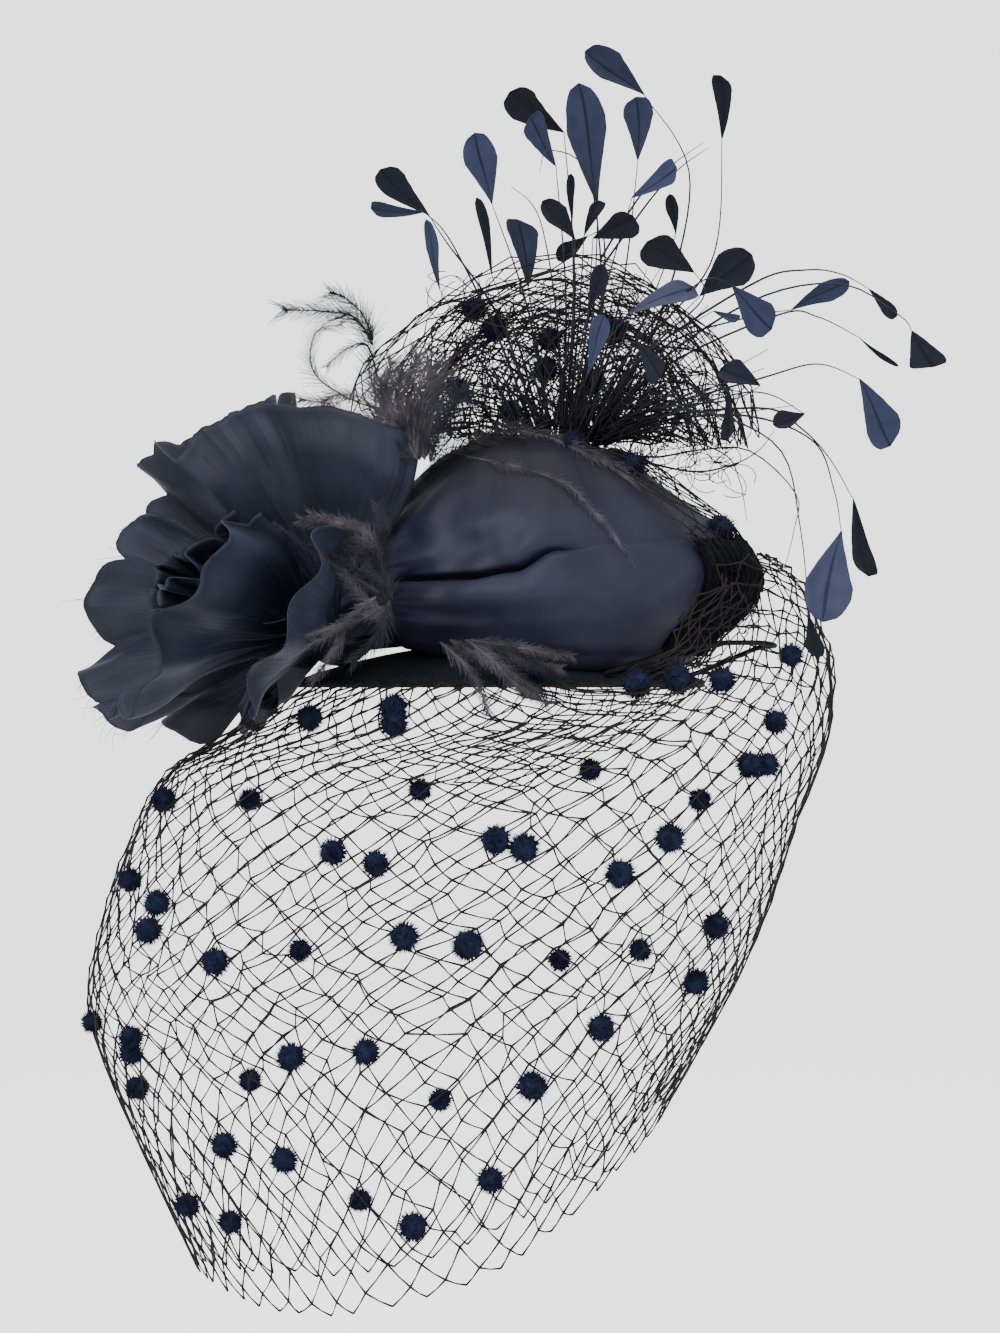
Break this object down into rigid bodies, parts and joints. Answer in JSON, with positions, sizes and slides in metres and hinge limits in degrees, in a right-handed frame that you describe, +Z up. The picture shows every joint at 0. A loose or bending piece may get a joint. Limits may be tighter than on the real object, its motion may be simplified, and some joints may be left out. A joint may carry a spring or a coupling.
{
  "type": "cocktail hat with a face veil",
  "caption": "Cocktail hat with a folded silk crown, an open silk bloom, a spray of trimmed feathers and a dotted net veil that hangs to the chin.",
  "frame": {"origin": "where the hat sits on the top of the head, under the middle of its felt base", "axes": "+Z up, -X towards the wearer's face, -Y towards the wearer's left"},
  "size_m": [0.3118, 0.2001, 0.4487],
  "materials": {
    "hat_base": "dark navy felt",
    "silk_crown": "navy silk with a soft sheen",
    "silk_cuff": "navy silk with a soft sheen",
    "end_lace": "near-black pleated lace",
    "flower_core": "navy silk knot",
    "petal_back_top": "navy silk petal",
    "petal_top": "navy silk petal",
    "petal_top_near": "navy silk petal",
    "petal_near": "navy silk petal",
    "petal_low": "navy silk petal",
    "petal_far": "navy silk petal",
    "petal_mid_top": "navy silk petal",
    "petal_mid_near": "navy silk petal",
    "petal_mid_far": "navy silk petal",
    "petal_heart_near": "navy silk petal",
    "petal_heart_far": "navy silk petal",
    "net_pouf": "brown-black netting",
    "feather_spray": "navy trimmed feathers on bare stems",
    "crest_plume": "dull grey-violet plumes",
    "hackle_plume": "dull grey-violet hackles",
    "grey_tuft_front": "grey brush strands",
    "grey_tuft_low": "grey brush strands",
    "wire_loop": "black lacquered wire",
    "veil_upper_01": "brown-black netting with navy chenille dots",
    "veil_upper_02": "brown-black netting with navy chenille dots",
    "veil_upper_03": "brown-black netting with navy chenille dots",
    "veil_upper_04": "brown-black netting with navy chenille dots",
    "veil_upper_05": "brown-black netting with navy chenille dots",
    "veil_upper_06": "brown-black netting with navy chenille dots",
    "veil_upper_07": "brown-black netting with navy chenille dots",
    "veil_upper_08": "brown-black netting with navy chenille dots",
    "veil_upper_09": "brown-black netting with navy chenille dots",
    "veil_upper_10": "brown-black netting with navy chenille dots",
    "veil_upper_11": "brown-black netting with navy chenille dots",
    "veil_upper_12": "brown-black netting with navy chenille dots",
    "veil_upper_13": "brown-black netting with navy chenille dots",
    "veil_lower_01": "brown-black netting with navy chenille dots",
    "veil_lower_02": "brown-black netting with navy chenille dots",
    "veil_lower_03": "brown-black netting with navy chenille dots",
    "veil_lower_04": "brown-black netting with navy chenille dots",
    "veil_lower_05": "brown-black netting with navy chenille dots",
    "veil_lower_06": "brown-black netting with navy chenille dots",
    "veil_lower_07": "brown-black netting with navy chenille dots",
    "veil_lower_08": "brown-black netting with navy chenille dots",
    "veil_lower_09": "brown-black netting with navy chenille dots",
    "veil_lower_10": "brown-black netting with navy chenille dots",
    "veil_lower_11": "brown-black netting with navy chenille dots",
    "veil_lower_12": "brown-black netting with navy chenille dots",
    "veil_lower_13": "brown-black netting with navy chenille dots"
  },
  "bodies": {
    "root": {"hat_base": "hat_base", "silk_crown": "silk_crown", "silk_cuff": "silk_cuff", "end_lace": "end_lace", "flower_core": "flower_core", "petal_back_top": "petal_back_top", "petal_top": "petal_top", "petal_top_near": "petal_top_near", "petal_near": "petal_near", "petal_low": "petal_low", "petal_far": "petal_far", "petal_mid_top": "petal_mid_top", "petal_mid_near": "petal_mid_near", "petal_mid_far": "petal_mid_far", "petal_heart_near": "petal_heart_near", "petal_heart_far": "petal_heart_far", "net_pouf": "net_pouf", "feather_spray": "feather_spray", "crest_plume": "crest_plume", "hackle_plume": "hackle_plume", "grey_tuft_front": "grey_tuft_front", "grey_tuft_low": "grey_tuft_low", "wire_loop": "wire_loop", "veil_upper_01": "veil_upper_01", "veil_upper_02": "veil_upper_02", "veil_upper_03": "veil_upper_03", "veil_upper_04": "veil_upper_04", "veil_upper_05": "veil_upper_05", "veil_upper_06": "veil_upper_06", "veil_upper_07": "veil_upper_07", "veil_upper_08": "veil_upper_08", "veil_upper_09": "veil_upper_09", "veil_upper_10": "veil_upper_10", "veil_upper_11": "veil_upper_11", "veil_upper_12": "veil_upper_12", "veil_upper_13": "veil_upper_13", "veil_lower_01": "veil_lower_01", "veil_lower_02": "veil_lower_02", "veil_lower_03": "veil_lower_03", "veil_lower_04": "veil_lower_04", "veil_lower_05": "veil_lower_05", "veil_lower_06": "veil_lower_06", "veil_lower_07": "veil_lower_07", "veil_lower_08": "veil_lower_08", "veil_lower_09": "veil_lower_09", "veil_lower_10": "veil_lower_10", "veil_lower_11": "veil_lower_11", "veil_lower_12": "veil_lower_12", "veil_lower_13": "veil_lower_13"}
  },
  "joints": []
}
